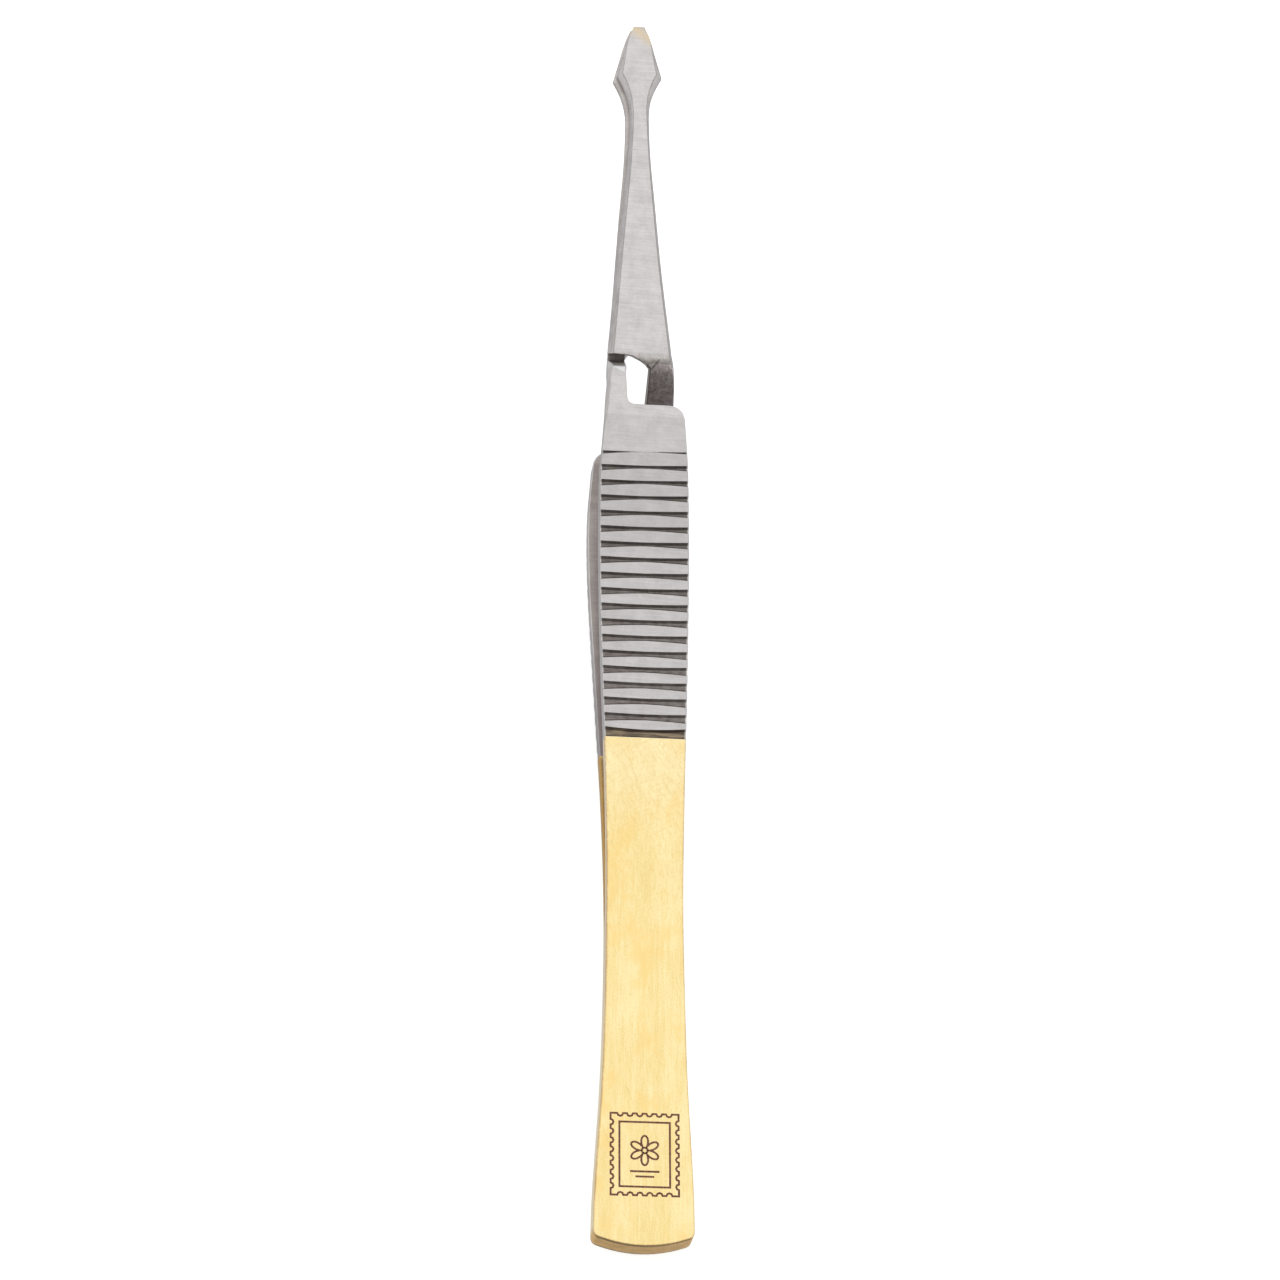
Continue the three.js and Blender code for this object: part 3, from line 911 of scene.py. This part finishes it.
def gold_side(name):
    """The leaves' sheared side: thin plating over pale steel. The brown line under the face and the tan band
    on the heel's end are partly painted shade, and the lower arm's side gets painted shade.
    """
    finish = Finish(name, 0.42)
    streaks = finish.noise((3.0, 0.2, 7.0), detail=4.0)
    clouds = finish.noise((1.2, 0.35, 1.2), detail=4.0, shift=6.0)
    share = finish.level(finish.sum((0.5, streaks), (0.6, clouds)), 0.4, 0.7, smooth_ends=False)
    color = finish.blend(share, (0.78, 0.64, 0.45), (0.95, 0.8, 0.58))
    along_arm = finish.part_of_rest("Y")
    pale = finish.level(along_arm, 26.0, 16.0)
    color = finish.blend(pale, color, finish.blend(share, (0.9, 0.75, 0.48), (1.0, 0.9, 0.66)))
    # Painted shade on the lower arm's side, under the upper arm
    below = finish.product(finish.lower_arm(), finish.level(along_arm, 28.0, 31.0))
    color = finish.blend(below, color, finish.blend(share, (0.44, 0.245, 0.045), (0.62, 0.37, 0.09)))
    # Tan band on the heel's end, partly painted shade
    heel = finish.level(along_arm, 1.9, 1.1)
    color = finish.blend(heel, color, finish.blend(share, (0.68, 0.42, 0.14), (0.94, 0.6, 0.22)))
    # Brown line under the face, partly painted shade
    ragged = finish.math("ADD", finish.depth(), finish.product(finish.math("SUBTRACT", clouds, 0.5), 0.25))
    line = finish.level(ragged, 0.34, 0.24)
    across = finish.part_of_rest("X")
    heel_line = finish.product(line, finish.level(across, 5.5, -3.0))
    brown = finish.blend(heel, (0.3, 0.19, 0.09), (0.14, 0.085, 0.04))
    strength = finish.math("SUBTRACT", 0.75, finish.product(finish.level(pale, 0.0, 1.0), 0.5))
    amount = finish.math("ADD", finish.product(line, strength), finish.product(heel_line, heel), clamp=True)
    color = finish.blend(amount, color, brown)
    rough = finish.math("ADD", finish.product(streaks, 0.2), 0.32)
    return finish.finish(color, rough, finish.sum((1.0, streaks), (0.5, clouds)), bump=0.3)


def mark_ink(name):
    """Burnt-in brown line, darker where it bit deeper."""
    finish = Finish(name, 0.7, metallic=0.0)
    finish.shader.inputs["Specular IOR Level"].default_value = 0.2
    grain = finish.noise((5.0, 5.0, 5.0), detail=5.0)
    color = finish.blend(finish.level(grain, 0.35, 0.65), (0.12, 0.045, 0.03), (0.25, 0.115, 0.075))
    rough = finish.math("ADD", finish.product(grain, 0.3), 0.5)
    return finish.finish(color, rough, grain, bump=0.5)


# ---------- build ----------


# Scale and painted shade on the neck's outer and inner sides
def outer_scale_and_shade(finish, color):
    return add_scale_and_shade(finish, color, FACET_END, (0.45, 0.415, 0.38), (0.24, 0.21, 0.185))


def inner_scale_and_shade(finish, color):
    return add_scale_and_shade(finish, color, 79.3, (0.88, 0.8, 0.79), (0.34, 0.285, 0.28))


steel_face = ground_steel("steel_face", (0.67, 0.646, 0.64), (0.5, 0.479, 0.473), 0.36,
                          marks=(outer_scale_and_shade, add_facet_highlight, add_crease_shade))
steel_edge = ground_steel("steel_edge", (0.7, 0.677, 0.67), (0.5, 0.48, 0.473), 0.34, across=False)
steel_side = ground_steel("steel_side", (0.6, 0.577, 0.572), (0.4, 0.38, 0.376), 0.42, across=False)
steel_inner = ground_steel("steel_inner", (0.62, 0.585, 0.565), (0.4, 0.365, 0.345), 0.42,
                           marks=(inner_scale_and_shade, add_shade, add_crease_shade))
steel_groove = groove_steel("steel_groove", (0.27, 0.245, 0.23), (0.12, 0.1, 0.09), 0.45)
gold_face = gold_plate("gold_face", (0.96, 0.815, 0.45), (0.86, 0.665, 0.28), (0.92, 0.67, 0.26), 0.34,
                       (0.5, 0.33, 0.13), 0.25)
gold_edge = gold_plate("gold_edge", (0.93, 0.74, 0.38), (0.7, 0.47, 0.2), (0.62, 0.4, 0.16), 0.36,
                       (0.36, 0.22, 0.09), 0.8, painted_shade=0.85)
gold_inner = gold_plate("gold_inner", (0.76, 0.48, 0.15), (0.56, 0.32, 0.08), (0.6, 0.34, 0.08), 0.38,
                        (0.3, 0.18, 0.07), 0.7)
plated_side = gold_side("gold_side")
steel_line = ground_steel("steel_line", (0.46, 0.44, 0.42), (0.28, 0.265, 0.25), 0.42, across=False)
steel = [steel_face, steel_edge, steel_side, steel_inner, steel_groove, steel_line]
gold = [gold_face, gold_edge, plated_side, gold_inner]

for arm in (UPPER, LOWER):
    body = arm.name + "_arm"
    whole = arm_mesh(arm)
    handle = arm_piece(arm.name + "_handle", arm, whole, True, gold)
    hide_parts(arm.name + "_heel_leaf", arm.name + "_spring_leaf")
    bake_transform(handle, "heel", body,
             start=(0, HEEL_Y + LEAVES_PART * MM, MEETING_Z),
             end=(0, HEEL_Y + (2 * FLEX - LEAVES_PART) * MM, MEETING_Z))
    jaw = arm_piece(arm.name + "_jaw", arm, whole, False, steel)
    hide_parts(arm.name + "_grip", arm.name + "_neck", arm.name + "_blade")
    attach(jaw, body)
    whole.free()

mark = to_piece(mark_mesh(), "heel_mark", [mark_ink("mark_ink")])
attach(mark, "heel")

weld = ground_steel("weld_steel", (0.5, 0.47, 0.44), (0.3, 0.27, 0.24), 0.5)
for name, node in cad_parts.items():
    if "nugget" in name:
        node.data.materials.clear()
        node.data.materials.append(weld)

# ---------- floor, light and camera ----------

# The floor touches the heel's lower face and the crest of the lower grip, and the blades' tips stand clear
REST_HEEL = Vector((HEEL_Y + 0.6 * MM, MEETING_Z - HEEL_THICKNESS * MM))
REST_GRIP = Vector((HEEL_Y + CREST_STATION * MM, MEETING_Z - CREST * MM))
FLOOR_REACH = 0.45
slope = (REST_GRIP.y - REST_HEEL.y) / (REST_GRIP.x - REST_HEEL.x)
floor_data = bpy.data.meshes.new("floor")
corners = [(x * FLOOR_REACH, y * FLOOR_REACH) for x, y in ((-1, -1), (1, -1), (1, 1), (-1, 1))]
corners = [(x, y, REST_GRIP.y + slope * (y - REST_GRIP.x)) for x, y in corners]
floor_data.from_pydata(corners, [], [(0, 1, 2, 3)])
floor = bpy.data.objects.new("floor", floor_data)
bpy.context.scene.collection.objects.link(floor)
floor.visible_glossy = False
paper = Finish("paper", 0.9, metallic=0.0)
speckle = paper.node("ShaderNodeTexNoise", {"Scale": 900.0, "Detail": 3.0})
floor_data.materials.append(paper.finish(paper.blend(speckle, (0.88, 0.88, 0.88), (0.94, 0.94, 0.94))))
paper.shader.inputs["Emission Color"].default_value = (1, 1, 1, 1)
paper.shader.inputs["Emission Strength"].default_value = 0.5

UP_LIGHT = 1.1
DOWN_LIGHT = 0.74
DARK_SIDE = 0.24  # the unlit side, beyond the heel

world = bpy.data.worlds.new("studio")
bpy.context.scene.world = world
world.use_nodes = True
sky = world.node_tree
sky.nodes.clear()
direction = add_node(sky, "ShaderNodeSeparateXYZ", {0: add_node(sky, "ShaderNodeTexCoord")}).node
by_height = add_node(sky, "ShaderNodeMapRange",
                     {0: direction.outputs[2], 1: -0.2, 2: 0.3, 3: DOWN_LIGHT, 4: UP_LIGHT},
                     interpolation_type="SMOOTHSTEP")
unlit = add_node(sky, "ShaderNodeMapRange",
                 {0: direction.outputs[1], 1: -0.3, 2: -0.8, 3: 1.0, 4: DARK_SIDE},
                 interpolation_type="SMOOTHSTEP")
strength = add_node(sky, "ShaderNodeMath", {0: by_height, 1: unlit}, operation="MULTIPLY")
studio = add_node(sky, "ShaderNodeBackground", {0: (1, 1, 1, 1), 1: strength})
backdrop = add_node(sky, "ShaderNodeBackground", {0: (1, 1, 1, 1), 1: 1.0})
seen = add_node(sky, "ShaderNodeLightPath")
both = add_node(sky, "ShaderNodeMixShader", {0: seen, 1: studio, 2: backdrop})
sky.links.new(both, sky.nodes.new("ShaderNodeOutputWorld").inputs[0])

# The camera stands in front of the heel, a little to the left, and looks down on the whole length. Its
# place is in metres.
PITCH, YAW, ROLL = radians(24.33), radians(6.47), radians(-0.2)
CAMERA_AT = (-0.04075, HEEL_Y - 0.10721, MEETING_Z + 0.35932)
back = Vector((-sin(YAW) * cos(PITCH), -sin(PITCH), cos(YAW) * cos(PITCH)))
right = Vector((0, 1, 0)).cross(back).normalized()
up = back.cross(right)
right, up = right * cos(ROLL) + up * sin(ROLL), up * cos(ROLL) - right * sin(ROLL)
camera_data = bpy.data.cameras.new("camera")
camera_data.lens = 125.06
camera_data.sensor_width = 36
camera_data.clip_start = 0.01
camera_data.clip_end = 10
camera = bpy.data.objects.new("camera", camera_data)
camera.matrix_world = Matrix.Translation(CAMERA_AT) @ Matrix((right, up, back)).transposed().to_4x4()
bpy.context.scene.collection.objects.link(camera)
bpy.context.scene.camera = camera
bpy.context.scene.view_settings.view_transform = "Standard"
